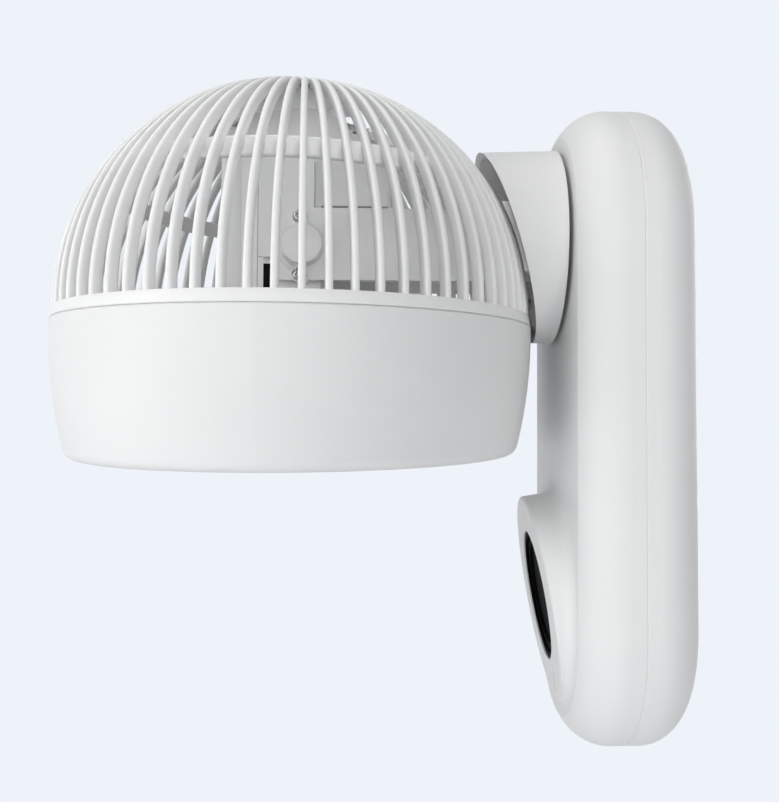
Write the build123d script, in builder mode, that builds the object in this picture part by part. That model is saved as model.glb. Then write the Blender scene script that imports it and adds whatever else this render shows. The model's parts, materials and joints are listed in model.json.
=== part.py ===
from build123d import *
from math import acos, asin, atan, cos, pi, radians, sin, sqrt, tan
import os

os.makedirs("parts", exist_ok=True)

# A wall mounted air circulator. Sizes are millimetres. The origin is the centre of the wall plate's
# back face, the wall is the plane y = 0 and the fan stands out towards -Y, with +Z up. It is drawn
# with its head facing straight down.

# ---------------------------------------------------------------- wall unit
body_half_width = 73.5      # centre line to the outside of a shell
arc_spacing = 192.8         # centre of the upper end arc to the centre of the lower one
rear_depth = 30.2           # wall to the parting line
front_depth = 29.0          # parting line to the front panel
front_edge_radius = 24.4    # roll from the side into the panel
front_edge_sweep = 64.7     # degrees of that roll, which stops short and leaves a soft crease
rear_edge_radius = 23.0
rear_lip = 4.0              # flat rim of the rear shell that meets the wall
shell_wall = 2.5
seam_chamfer = 0.4          # both shells, along the parting line
fit_gap = 0.3               # between pieces that are only laid together
run_gap = 0.05              # radial, between a shaft and its bore

notch_spacing = 118.6       # cable notches in the wall rim
notch_radius = 9.6
notch_depth = 1.3

post_radius = 4.5           # screw posts that hold the two shells together
post_inset = 15.5           # centres in from the outside of a shell
post_spacing = 70.0
screw_radius = 1.5
screw_head_radius = 3.0
screw_head_height = 2.2
screw_grip = 7.0            # plastic under a screw head
screw_bite = 9.0            # thread in the far piece

# ---------------------------------------------------------------- wall plate
plate_thick = 2.5
plate_tab_width = 40.0      # tongues at both ends that show behind the shell
plate_tab_reach = 10.5
lug_overlap = 8.2           # rear shell's lugs lie this far over the plate
lug_height = 16.0
lug_thick = 3.0
lug_spacing = 100.0
lug_screw_inset = 4.0       # from a lug's end to its screw
bolt_spacing_x = 50.0
bolt_spacing_z = 140.0
bolt_hole_radius = 2.75

# ---------------------------------------------------------------- control boss
boss_radius = 53.2
boss_rise = 10.1            # centre of its face above the panel
boss_lift = 2.0             # centre of its face above the lower arc centre
boss_lean = 8.8             # degrees, face turned down
boss_edge_radius = 1.6
bezel_radius = 34.1
bezel_sink = 0.8            # bezel rim below the boss face
bezel_wall = 3.2
bezel_depth = 12.0
bezel_floor = 2.0
bezel_flange = 38.0
knob_radius = 30.2
knob_sink = 1.4             # knob rim below the bezel rim
knob_height = 7.0
knob_dish = 1.6
knob_shaft_radius = 3.0
encoder_size = 13.0
encoder_height = 7.0
board_thick = 1.6
control_board_radius = 30.0

# ---------------------------------------------------------------- pan drive and collar
collar_radius = 53.0
collar_draft = 2.0          # degrees that the collar narrows towards its mouth
collar_wall = 3.0
collar_gap = 2.4            # shadow gap between collar and panel
collar_floor = 3.0
hub_radius = 34.0
spigot_radius = 12.0
spigot_wall = 3.0
gear_module = 1.25
gear_teeth = 60
pinion_teeth = 15
gear_thick = 7.0
gear_bore = 24.0
gear_backlash = 0.45
gear_screw_circle = 29.0
frame_thick = 3.0
frame_gap = 3.4             # gear to the frame plate behind it
frame_radius = 52.0
frame_post_circle = 46.0
frame_foot_width = 48.0     # part of the frame plate that carries the stepper
frame_foot_reach = 76.0
bush_radius = 36.4
bush_flange_radius = 41.0
bush_flange_thick = 1.5
cable_radius = 8.0
stepper_radius = 14.0
stepper_height = 19.0
stepper_shaft_radius = 2.5
stepper_offset = 8.0        # shaft to the middle of the can
stepper_hole_spacing = 35.0
stepper_ear_thick = 1.0

# ---------------------------------------------------------------- head
head_gap = 13.3             # back of the collar to the nearest point of the dome
seam_drop = 45.6            # pan axis down to the seam of the head
ring_height = 67.2
ring_taper = 7.8            # how much the ring narrows from the seam to its front edge
ring_wall = 2.6
ring_corner = 4.3
seam_groove = 0.7           # shadow line round the top of the ring
dome_radius = 124.1         # outside of the ribs
dome_lift = 7.0             # dome centre above the seam
rim_height = 5.8
rim_step = 0.9              # the ribs' outside in from the edge of the seam
rib_count = 72
rib_phase = 3.2             # degrees, from the line of the tilt shaft to the first rib
rib_width = 3.0
rib_depth = 5.6
rib_top_radius = 40.0       # where the ribs run into the polar cap
cap_radius = 46.0
cap_shoulder_radius = 24.0
cap_crown_radius = 8.0
cap_thick = 3.0
hoop_height = 9.5
hoop_lift = 66.4            # lower edge of the hoop above the seam
hoop_thick = 4.4
hoop_bite = 0.9655          # how far the hoop reaches out into the ribs
slot_clearance = 2.0        # neck to the sides of the slot
slot_end_clearance = 2.4    # neck to the ends of the slot, at both ends of the tilt
slot_rail = 4.0
rib_chords = 7              # straight runs that stand for each rib's curve
relief_gap = 4.4            # collar mouth to the dome
relief_lift = 4.5           # collar mouth's own centre above the dome centre

# ---------------------------------------------------------------- neck and tilt
pivot_back = 4.0            # tilt shaft behind the head's own axis
pivot_rise = 41.2           # tilt shaft above the seam
neck_half_width = 26.0
neck_up = 20.1              # top of the neck above the tilt shaft
neck_down = 17.7            # underside of the neck below the tilt shaft
neck_corner = 3.0
neck_wall = 4.0
root_half_width = 43.5      # broad root of the neck, from the collar up to the dome
root_down = 15.0
root_clearance = 2.0        # dome to the root's scooped face
neck_flange_radius = 46.0
neck_flange_thick = 4.0
neck_screw_circle = 39.0
cheek_thick = 6.0
fork_gap = 6.2              # tilted tower to the web between the cheeks
cheek_front = 21.7          # cheek plate, from the tilt shaft away from the wall
cheek_back = 4.9
cheek_up = 46.8
cheek_notch_width = 6.2     # lower front corner of the cheek plate
cheek_notch_height = 11.9
cheek_gap = 0.6
tilt_shaft_radius = 4.0
tilt_motor_radius = 10.5
tilt_motor_height = 8.0
tilt_hole_spacing = 31.0
tilt_ear_radius = 3.6
pivot_boss_radius = 8.0
tower_front = 30.0          # from the head's axis away from the wall
tower_stem = 12.0           # back of the tower's stem, from the head's axis
tower_back = 47.0           # back of the tower's upper part
tower_drop = 14.1           # level top below the dome's pole
tower_crown = 14.0          # how far back the level top reaches
tower_shoulder = 86.0       # where the sloping top meets the back
tower_eave = 64.0           # underside of the upper part
tower_corner = 16.0
tower_wall = 2.6
tower_flange = 2.0
wire_slot_front = 14.2      # wiring slot in both sides of the tower, in front of the axis
wire_slot_rise = 24.3
wire_slot_width = 4.0
wire_slot_height = 14.6

# ---------------------------------------------------------------- motor and rotor
housing_radius = 38.0
housing_top = 10.0          # above the seam
housing_height = 30.0
housing_wall = 2.6
frame_hub_radius = 42.0
strut_count = 6
strut_width = 3.0
strut_depth = 9.0
frame_ring_width = 3.6
head_lug_radius = 5.0
head_lug_inset = 5.4        # their centres in from the ring's wall
head_lug_thick = 3.0
can_radius = 30.0
can_height = 20.0
shaft_radius = 4.0
hub_cup_radius = 41.0
hub_cup_wall = 2.4
impeller_gap = 3.0          # housing to the impeller's hub
impeller_depth = 30.0
blade_count = 7
blade_tip_gap = 8.9         # blade tips to the ring's wall at the seam
blade_thick = 2.4
blade_root_pitch = 52.0
blade_tip_pitch = 62.0
nut_radius = 11.0
nut_height = 6.0

# ---------------------------------------------------------------- front grille
grille_thick = 4.2
grille_outer_rim = 5.0
ring_lip = 9.0              # turned in under the grille
grille_bar_count = 40
grille_bar_width = 2.2
grille_hub_radius = 27.0
grille_ring_radius = 70.0
grille_sweep = 34.0         # degrees that a bar turns on its way out
badge_radius = 23.0
badge_height = 2.0

# ---------------------------------------------------------------- places
pan_z = arc_spacing / 2
boss_z = -arc_spacing / 2 + boss_lift
panel_y = -(rear_depth + front_depth)
collar_y = panel_y - collar_gap
plate_half = body_half_width - rear_edge_radius - rear_lip - fit_gap
post_offset = body_half_width - post_inset
lug_reach = plate_half - lug_overlap
lug_screw_offset = lug_reach + lug_screw_inset
seam_z = pan_z - seam_drop
dome_z = seam_z + dome_lift
head_y = collar_y - head_gap - dome_radius
front_z = seam_z - ring_height
pivot_y = head_y + pivot_back
pivot_z = seam_z + pivot_rise

seam_radius = dome_radius + rim_step
front_radius = seam_radius - ring_taper
ring_inner = seam_radius - ring_wall
head_lug_circle = ring_inner - head_lug_inset
blade_tip_radius = ring_inner - blade_tip_gap
rib_inner = dome_radius - rib_depth
hoop_rise = hoop_lift + hoop_height / 2 - dome_lift
hoop_outer_radius = sqrt(rib_inner**2 - hoop_rise**2) + hoop_bite
hoop_inner_radius = hoop_outer_radius - hoop_thick
tower_top = dome_lift + dome_radius - tower_drop
fork_depth = tower_top - pivot_rise + fork_gap

pan_axis = Axis((0, 0, pan_z), (0, -1, 0))
head_axis = Axis((0, head_y, 0), (0, 0, 1))
pan_section = Plane((0, 0, pan_z), x_dir=(1, 0, 0), z_dir=(0, 0, 1))
head_section = Plane((0, head_y, seam_z), x_dir=(1, 0, 0), z_dir=(0, -1, 0))
boss_face = Plane(
    (0, panel_y - boss_rise, boss_z),
    x_dir=(1, 0, 0),
    z_dir=(0, -cos(radians(boss_lean)), -sin(radians(boss_lean))),
)


def facing_room(y, z=0.0):
    # a plane parallel to the wall, seen from the room: local x is +X and local y is +Z
    return Plane((0, y, z), x_dir=(1, 0, 0), z_dir=(0, -1, 0))


def across(x, y, z):
    # a plane square to X, with its normal along +X: local x is +Y and local y is +Z
    return Plane((x, y, z), x_dir=(0, 1, 0), z_dir=(1, 0, 0))


def head_level(height):
    # a level plane on the head's axis, at a height above the seam
    return Plane((0, head_y, seam_z + height), x_dir=(1, 0, 0), z_dir=(0, 0, 1))


def facing_wall(y, z=0.0):
    # a plane parallel to the wall, seen from the wall: local x is -X and local y is +Z
    return Plane((0, y, z), x_dir=(-1, 0, 0), z_dir=(0, 1, 0))


def save(piece, label):
    piece.part.label = label
    export_step(piece.part, f"parts/{label}.step")


# ================================================================ the two body shells
def front_outline(inset=0.0):
    # half a cross section of the front shell's skin, from the centre line to the side
    side_flat = front_depth - front_edge_radius * sin(radians(front_edge_sweep))
    roll = front_edge_radius - inset
    turn = asin((front_depth - inset - side_flat) / roll)
    side = body_half_width - inset
    roll_x = body_half_width - front_edge_radius
    roll_y = -rear_depth - side_flat
    with BuildSketch() as outline:
        with BuildLine():
            Line((0, -rear_depth), (side, -rear_depth))
            Line((side, -rear_depth), (side, roll_y))
            rolled = CenterArc((roll_x, roll_y), roll, 0, -turn * 180 / pi)
            Line(rolled @ 1, (0, panel_y + inset))
            Line((0, panel_y + inset), (0, -rear_depth))
        make_face()
    return outline.sketch


def rear_outline(inset=0.0):
    side = body_half_width - inset
    roll_x = body_half_width - rear_edge_radius
    with BuildSketch() as outline:
        with BuildLine():
            Line((0, -rear_depth), (side, -rear_depth))
            Line((side, -rear_depth), (side, -rear_edge_radius))
            rolled = CenterArc((roll_x, -rear_edge_radius), rear_edge_radius - inset, 0, 90)
            Line(rolled @ 1, (0, -inset))
            Line((0, -inset), (0, -rear_depth))
        make_face()
    return outline.sketch


def pill(outline):
    # the outline is run along the straight sides and turned round both end arcs
    with BuildPart() as solid:
        with BuildSketch(Plane.XY.offset(-arc_spacing / 2)):
            add(outline)
            mirror(about=Plane.YZ)
        extrude(amount=arc_spacing)
        for end in (-1, 1):
            with BuildSketch(Plane.XY.offset(end * arc_spacing / 2)):
                add(outline)
            revolve(axis=Axis((0, 0, end * arc_spacing / 2), (0, 1, 0)))
    return solid.part


def screws(label, plane, places, grip, bite, core=screw_radius, cap=screw_head_radius):
    # pan head screws standing on a plane, drawn as prisms: heads above it, threads below
    with BuildPart() as group:
        with BuildSketch(plane):
            with Locations(*places):
                RegularPolygon(cap, 12)
        extrude(amount=screw_head_height)
        with BuildSketch(plane):
            with Locations(*places):
                RegularPolygon(core, 8)
        extrude(amount=-(grip + bite))
    save(group, label)


post_places = [
    (side * post_offset, level * post_spacing / 2) for side in (-1, 1) for level in (-1, 1)
]
post_places += [(0, end * (arc_spacing / 2 + post_offset)) for end in (-1, 1)]
frame_post_places = [
    (
        frame_post_circle * cos(radians(turn)),
        pan_z + frame_post_circle * sin(radians(turn)),
    )
    for turn in (35, 145, 215, 325)
]
board_places = [(side * 36, level - 10) for side in (-1, 1) for level in (-16, 16)]
lug_places = [(side * lug_screw_offset, end * lug_spacing / 2) for side in (-1, 1) for end in (-1, 1)]

inner_panel_y = panel_y + shell_wall
gear_front = inner_panel_y + bush_flange_thick + fit_gap
gear_back = gear_front + gear_thick
frame_front = gear_back + frame_gap
frame_back = frame_front + frame_thick
board_front = inner_panel_y + 12

front_skin = pill(front_outline())
front_hollow = pill(front_outline(shell_wall))
rear_skin = pill(rear_outline())
rear_hollow = pill(rear_outline(shell_wall))

with BuildPart() as front_posts:
    with BuildSketch(facing_room(-rear_depth)):
        with Locations(*post_places):
            Circle(post_radius)
    extrude(amount=front_depth)
    with BuildSketch(facing_room(frame_front)):
        with Locations(*frame_post_places):
            Circle(post_radius)
    extrude(amount=frame_front - panel_y)
    with BuildSketch(facing_room(board_front)):
        with Locations(*board_places):
            Circle(post_radius - 1)
    extrude(amount=board_front - panel_y)
    add(front_skin, mode=Mode.INTERSECT)
    with BuildSketch(facing_room(-rear_depth)):
        with Locations(*post_places):
            Circle(screw_radius + run_gap)
    extrude(amount=screw_bite + 1, mode=Mode.SUBTRACT)
    with BuildSketch(facing_room(frame_front)):
        with Locations(*frame_post_places):
            Circle(screw_radius + run_gap)
    extrude(amount=screw_bite, mode=Mode.SUBTRACT)
    with BuildSketch(facing_room(board_front)):
        with Locations(*board_places):
            Circle(screw_radius + run_gap)
    extrude(amount=screw_bite, mode=Mode.SUBTRACT)

with BuildPart() as front_shell:
    add(front_skin)
    chamfer(front_shell.faces().sort_by(Axis.Y)[-1].outer_wire().edges(), seam_chamfer)
    with BuildSketch(boss_face):
        Circle(boss_radius)
    extrude(amount=-(boss_rise + front_depth / 2))
    fillet(
        front_shell.edges()
        .filter_by(GeomType.CIRCLE)
        .filter_by(lambda edge: abs(edge.radius - boss_radius) < 0.01 and edge.is_closed)
        .sort_by(Axis.Y)[0],
        boss_edge_radius,
    )
    # the hollow follows the panel, then reaches up inside the boss
    add(front_hollow, mode=Mode.SUBTRACT)
    with BuildSketch(boss_face.offset(-shell_wall)):
        Circle(boss_radius - shell_wall)
    extrude(amount=-(boss_rise + front_depth / 2), mode=Mode.SUBTRACT)
    with BuildSketch(boss_face):
        Circle(bezel_radius)
    extrude(amount=-boss_rise, mode=Mode.SUBTRACT)
    # the opening that the collar's hub turns in
    with BuildSketch(facing_room(panel_y - 1, pan_z)):
        Circle(bush_radius + fit_gap)
    extrude(amount=-3 * shell_wall, mode=Mode.SUBTRACT)
    add(front_posts.part)
save(front_shell, "front_shell")

with BuildPart() as rear_posts:
    with BuildSketch(facing_room(-rear_depth)):
        with Locations(*post_places):
            Circle(post_radius)
    extrude(amount=-rear_depth)
    add(rear_skin, mode=Mode.INTERSECT)

with BuildPart() as rear_shell:
    add(rear_skin)
    chamfer(rear_shell.faces().sort_by(Axis.Y)[0].outer_wire().edges(), seam_chamfer)
    add(rear_hollow, mode=Mode.SUBTRACT)
    add(rear_posts.part)
    # lugs that lie on the wall plate
    with BuildSketch(facing_room(-shell_wall)):
        for side in (-1, 1):
            with Locations(
                (side * (lug_reach + post_offset) / 2, lug_spacing / 2),
                (side * (lug_reach + post_offset) / 2, -lug_spacing / 2),
            ):
                Rectangle(post_offset - lug_reach, lug_height)
    extrude(amount=lug_thick)
    # open back, with a slot at each end for the plate's tongues
    with BuildSketch(facing_room(0)):
        SlotCenterToCenter(
            arc_spacing, 2 * (body_half_width - rear_edge_radius - rear_lip), rotation=90
        )
        Rectangle(
            plate_tab_width + 2 * fit_gap,
            arc_spacing
            + 2 * (body_half_width - rear_edge_radius - rear_lip + plate_tab_reach),
        )
    extrude(amount=shell_wall, mode=Mode.SUBTRACT)
    # screw holes with their heads sunk from the wall side
    with BuildSketch(facing_room(-rear_depth)):
        with Locations(*post_places):
            Circle(screw_radius + run_gap)
    extrude(amount=-rear_depth, mode=Mode.SUBTRACT)
    with BuildSketch(facing_room(-rear_depth + screw_grip)):
        with Locations(*post_places):
            Circle(screw_head_radius + fit_gap)
    extrude(amount=-rear_depth, mode=Mode.SUBTRACT)
    with BuildSketch(facing_room(0)):
        with Locations(*lug_places):
            Circle(screw_radius + run_gap)
    extrude(amount=shell_wall + lug_thick, mode=Mode.SUBTRACT)
    # round cable notches across the wall rim
    with BuildSketch(across(0, notch_radius - notch_depth, 0)):
        with Locations((0, notch_spacing / 2), (0, -notch_spacing / 2)):
            Circle(notch_radius)
    extrude(amount=body_half_width, both=True, mode=Mode.SUBTRACT)
save(rear_shell, "rear_shell")

screws(
    "shell_screws",
    facing_wall(-rear_depth + screw_grip),
    post_places,
    screw_grip,
    screw_bite - fit_gap,
)

with BuildPart() as wall_plate:
    with BuildSketch(facing_room(0)):
        SlotCenterToCenter(arc_spacing, 2 * plate_half, rotation=90)
        Rectangle(plate_tab_width, arc_spacing + 2 * (plate_half + plate_tab_reach))
        with GridLocations(bolt_spacing_x, bolt_spacing_z, 2, 2):
            Circle(bolt_hole_radius, mode=Mode.SUBTRACT)
        with Locations(*lug_places):
            Circle(screw_radius + run_gap, mode=Mode.SUBTRACT)
        # cable opening and two lightening slots
        with Locations((0, 62), (0, -62)):
            SlotOverall(34, 16, rotation=90, mode=Mode.SUBTRACT)
    extrude(amount=plate_thick)
    # two pressed stiffeners down the middle
    with BuildSketch(facing_room(-plate_thick)):
        with Locations((-13, 0), (13, 0)):
            Rectangle(4, 180)
    extrude(amount=2.5)
    # the cable notches run on across the plate
    with BuildSketch(across(0, notch_radius - notch_depth, 0)):
        with Locations((0, notch_spacing / 2), (0, -notch_spacing / 2)):
            Circle(notch_radius)
    extrude(amount=body_half_width, both=True, mode=Mode.SUBTRACT)
save(wall_plate, "wall_plate")

screws(
    "plate_screws",
    facing_room(-shell_wall - lug_thick),
    lug_places,
    lug_thick,
    plate_thick - fit_gap,
)

# ================================================================ pan drive in the body
with BuildPart() as pan_bush:
    with BuildSketch(facing_room(inner_panel_y + bush_flange_thick, pan_z)):
        Circle(bush_flange_radius)
        Circle(hub_radius + run_gap, mode=Mode.SUBTRACT)
    extrude(amount=bush_flange_thick)
    with BuildSketch(facing_room(inner_panel_y, pan_z)):
        Circle(bush_radius)
        Circle(hub_radius + run_gap, mode=Mode.SUBTRACT)
    extrude(amount=shell_wall)
save(pan_bush, "pan_bush")

pinion_drop = gear_module * (gear_teeth + pinion_teeth) / 2
pinion_z = pan_z - pinion_drop
stepper_z = pinion_z - stepper_offset
stepper_places = [(side * stepper_hole_spacing / 2, stepper_z) for side in (-1, 1)]

with BuildPart() as pan_frame:
    with BuildSketch(facing_room(frame_back)):
        with Locations((0, pan_z)):
            Circle(frame_radius)
        with Locations((0, pan_z - frame_foot_reach / 2)):
            Rectangle(frame_foot_width, frame_foot_reach)
        with Locations((0, pan_z)):
            Circle(spigot_radius + run_gap, mode=Mode.SUBTRACT)
        with Locations((0, pinion_z)):
            Circle(stepper_shaft_radius + 2, mode=Mode.SUBTRACT)
        with Locations(*frame_post_places):
            Circle(screw_radius + run_gap, mode=Mode.SUBTRACT)
        with Locations(*stepper_places):
            Circle(screw_radius + run_gap, mode=Mode.SUBTRACT)
    extrude(amount=frame_thick)
save(pan_frame, "pan_frame")


screws(
    "pan_frame_screws",
    facing_wall(frame_back),
    frame_post_places,
    frame_thick,
    screw_bite - 1,
)

with BuildPart() as pan_stepper:
    with BuildSketch(facing_wall(frame_back, stepper_z)):
        Circle(stepper_radius)
    extrude(amount=stepper_height)
    with BuildSketch(facing_wall(frame_back, stepper_z)):
        SlotCenterToCenter(stepper_hole_spacing, 7)
    extrude(amount=stepper_ear_thick)
    with BuildSketch(facing_wall(frame_back)):
        with Locations(*stepper_places):
            Circle(screw_radius + run_gap)
    extrude(amount=stepper_ear_thick, mode=Mode.SUBTRACT)
    with BuildSketch(facing_wall(frame_back, pinion_z)):
        Circle(stepper_shaft_radius + run_gap)
    extrude(amount=stepper_height / 2, mode=Mode.SUBTRACT)
save(pan_stepper, "pan_stepper")

screws(
    "pan_stepper_screws",
    facing_wall(frame_back + stepper_ear_thick),
    stepper_places,
    stepper_ear_thick,
    frame_thick,
)


def gear_face(teeth):
    # straight flanked teeth, thinned a little for backlash, first tooth centred on local +y
    pitch_radius = gear_module * teeth / 2
    tip = pitch_radius + 0.9 * gear_module
    root = pitch_radius - 1.2 * gear_module
    middle = (pi * gear_module / 2 - gear_backlash) / 2
    points = []
    for tooth in range(teeth):
        centre = 2 * pi * tooth / teeth
        for radius, half in (
            (root, middle + 0.50 * gear_module),
            (pitch_radius, middle),
            (tip, middle - 0.42 * gear_module),
        ):
            points.append((radius * sin(centre - half / radius), radius * cos(centre - half / radius)))
        for radius, half in (
            (tip, middle - 0.42 * gear_module),
            (pitch_radius, middle),
            (root, middle + 0.50 * gear_module),
        ):
            points.append((radius * sin(centre + half / radius), radius * cos(centre + half / radius)))
    with BuildSketch() as face:
        with BuildLine():
            Polyline(*points, close=True)
        make_face()
    return face.sketch


with BuildPart() as pan_pinion:
    with BuildSketch(facing_room(gear_back, pinion_z)):
        add(gear_face(pinion_teeth))
    extrude(amount=gear_thick)
    with BuildSketch(facing_wall(gear_back, pinion_z)):
        Circle(stepper_shaft_radius)
    extrude(amount=frame_gap + frame_thick + stepper_height / 2 - 1)
save(pan_pinion, "pan_pinion")

with BuildPart() as main_board:
    with BuildSketch(facing_room(board_front + board_thick, -10)):
        Rectangle(86, 44)
        with Locations(*[(x, z + 10) for x, z in board_places]):
            Circle(screw_radius + run_gap, mode=Mode.SUBTRACT)
    extrude(amount=board_thick)
    with BuildSketch(facing_wall(board_front + board_thick, -10)):
        with Locations((18, 0)):
            Rectangle(24, 22)
        with Locations((-14, 8)):
            Rectangle(20, 12)
        with Locations((-20, -10)):
            Circle(6)
    extrude(amount=14)
save(main_board, "main_board")

screws(
    "board_screws",
    facing_wall(board_front + board_thick),
    board_places,
    board_thick,
    screw_bite - 1,
)

# ================================================================ control boss
with BuildPart() as dial_bezel:
    with BuildSketch(boss_face.offset(-bezel_sink)):
        Circle(bezel_radius - fit_gap)
    extrude(amount=-(bezel_depth - bezel_sink + bezel_floor))
    with BuildSketch(boss_face.offset(-shell_wall)):
        Circle(bezel_flange)
    extrude(amount=-2)
    with BuildSketch(boss_face):
        Circle(bezel_radius - bezel_wall)
    extrude(amount=-bezel_depth, mode=Mode.SUBTRACT)
    chamfer(dial_bezel.edges().filter_by(GeomType.CIRCLE).sort_by(Axis.Y)[0], 0.6)
    with BuildSketch(boss_face.offset(-bezel_depth - bezel_floor)):
        with PolarLocations(22, 3):
            Circle(2.4)
    extrude(amount=-encoder_height)
    with BuildSketch(boss_face.offset(-bezel_depth)):
        Circle(knob_shaft_radius + 1)
    extrude(amount=-bezel_floor, mode=Mode.SUBTRACT)
save(dial_bezel, "dial_bezel")

with BuildPart() as dial:
    with BuildSketch(boss_face.offset(-bezel_sink - knob_sink)):
        Circle(knob_radius)
    extrude(amount=-knob_height)
    with BuildSketch(boss_face.offset(-bezel_sink - knob_sink)):
        Circle(knob_radius - 3)
    extrude(amount=-knob_dish, taper=30, mode=Mode.SUBTRACT)
    with BuildSketch(boss_face.offset(-bezel_sink - knob_sink - knob_height)):
        Circle(knob_shaft_radius)
    extrude(
        amount=-(bezel_depth - bezel_sink - knob_sink - knob_height)
        - bezel_floor
        - encoder_height
        + 1.0
    )
save(dial, "dial")

with BuildPart() as encoder:
    with BuildSketch(boss_face.offset(-bezel_depth - bezel_floor)):
        Rectangle(encoder_size, encoder_size)
        Circle(knob_shaft_radius + run_gap, mode=Mode.SUBTRACT)
    extrude(amount=-encoder_height)
save(encoder, "encoder")

with BuildPart() as control_board:
    with BuildSketch(boss_face.offset(-bezel_depth - bezel_floor - encoder_height)):
        Circle(control_board_radius)
    extrude(amount=-board_thick)
save(control_board, "control_board")

# ================================================================ collar
collar_blank = 60.0         # length before the mouth is scooped out
collar_narrowing = collar_blank * tan(radians(collar_draft))
with BuildPart() as collar_shell:
    with BuildSketch(pan_section):
        Polygon(
            (0, collar_y),
            (collar_radius, collar_y),
            (collar_radius - collar_narrowing, collar_y - collar_blank),
            (collar_radius - collar_narrowing - collar_wall, collar_y - collar_blank),
            (collar_radius - collar_wall, collar_y - collar_floor),
            (0, collar_y - collar_floor),
            align=None,
        )
    revolve(axis=pan_axis)
    # the mouth is scooped to follow the dome
    with Locations((0, head_y, dome_z + relief_lift)):
        Sphere(dome_radius + relief_gap, rotation=(0, 90, 0), mode=Mode.SUBTRACT)
    # hub and hollow spigot
    with BuildSketch(facing_wall(collar_y, pan_z)):
        Circle(hub_radius)
    extrude(amount=gear_front - collar_y)
    with BuildSketch(facing_wall(gear_front, pan_z)):
        Circle(spigot_radius)
    extrude(amount=frame_back + 3.5 - gear_front)
    with BuildSketch(facing_wall(collar_y - collar_floor, pan_z)):
        Circle(cable_radius)
    extrude(amount=60, mode=Mode.SUBTRACT)
    with BuildSketch(facing_wall(gear_front, pan_z)):
        with PolarLocations(gear_screw_circle, 4):
            Circle(screw_radius + run_gap)
    extrude(amount=-6, mode=Mode.SUBTRACT)
    with BuildSketch(facing_wall(collar_y - collar_floor, pan_z)):
        with PolarLocations(neck_screw_circle, 4, 45):
            Circle(screw_radius + run_gap)
    extrude(amount=collar_floor, mode=Mode.SUBTRACT)
save(collar_shell, "collar_shell")

with BuildPart() as pan_gear:
    with BuildSketch(facing_room(gear_back, pan_z)):
        # turned half a tooth so that a gap faces the pinion
        add(gear_face(gear_teeth).rotate(Axis.Z, 180 / gear_teeth))
        Circle(spigot_radius + fit_gap, mode=Mode.SUBTRACT)
        with PolarLocations(gear_screw_circle, 4):
            Circle(screw_radius + run_gap, mode=Mode.SUBTRACT)
    extrude(amount=gear_thick)
save(pan_gear, "pan_gear")

screws(
    "gear_screws",
    facing_wall(gear_back, pan_z),
    [
        (gear_screw_circle * cos(radians(turn)), gear_screw_circle * sin(radians(turn)))
        for turn in (0, 90, 180, 270)
    ],
    gear_thick,
    5,
)

with BuildPart() as pan_clip:
    with BuildSketch(facing_wall(frame_back + fit_gap, pan_z)):
        Circle(spigot_radius + 3)
        Circle(spigot_radius + run_gap, mode=Mode.SUBTRACT)
    extrude(amount=2.4)
save(pan_clip, "pan_clip")

# ================================================================ neck
pivot = Plane((0, pivot_y, pivot_z), x_dir=(0, 1, 0), z_dir=(1, 0, 0))
neck_root_y = collar_y - collar_floor
web_y = pivot_y + fork_depth
neck_height = neck_up + neck_down
neck_middle_z = pivot_z + (neck_up - neck_down) / 2
neck_places = [
    (neck_screw_circle * cos(radians(turn)), neck_screw_circle * sin(radians(turn)))
    for turn in (45, 135, 225, 315)
]

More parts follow.
